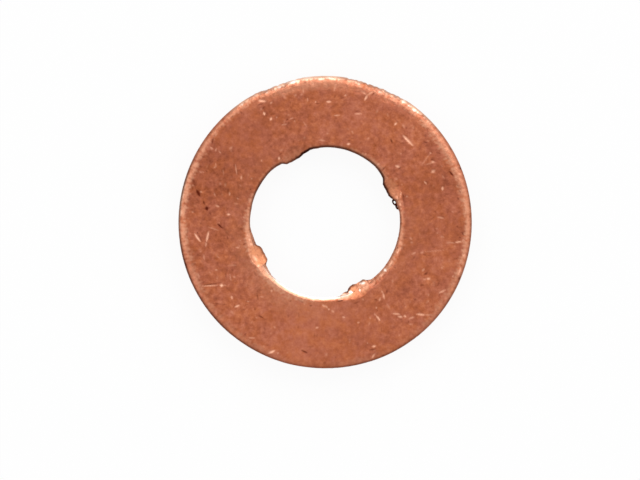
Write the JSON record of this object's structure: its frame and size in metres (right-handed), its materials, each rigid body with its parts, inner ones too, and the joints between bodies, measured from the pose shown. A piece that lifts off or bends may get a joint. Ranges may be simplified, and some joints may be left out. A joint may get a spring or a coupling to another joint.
{
  "type": "fuel injector sealing washer",
  "caption": "Flat copper sealing ring for under a fuel injector, with rounded upper edges and small nibs staked into its bore that hold it on the nozzle.",
  "frame": {"origin": "centre of the bore on the flat underside, where the washer rests", "axes": "+Z along the bore's axis, towards the side with the rounded edges and the staked nibs; +X to the right and +Y up, as the picture shows that side"},
  "size_m": [0.015, 0.015, 0.0015],
  "materials": {
    "copper": "satin"
  },
  "bodies": {
    "root": {"copper_washer": "copper"}
  },
  "joints": []
}
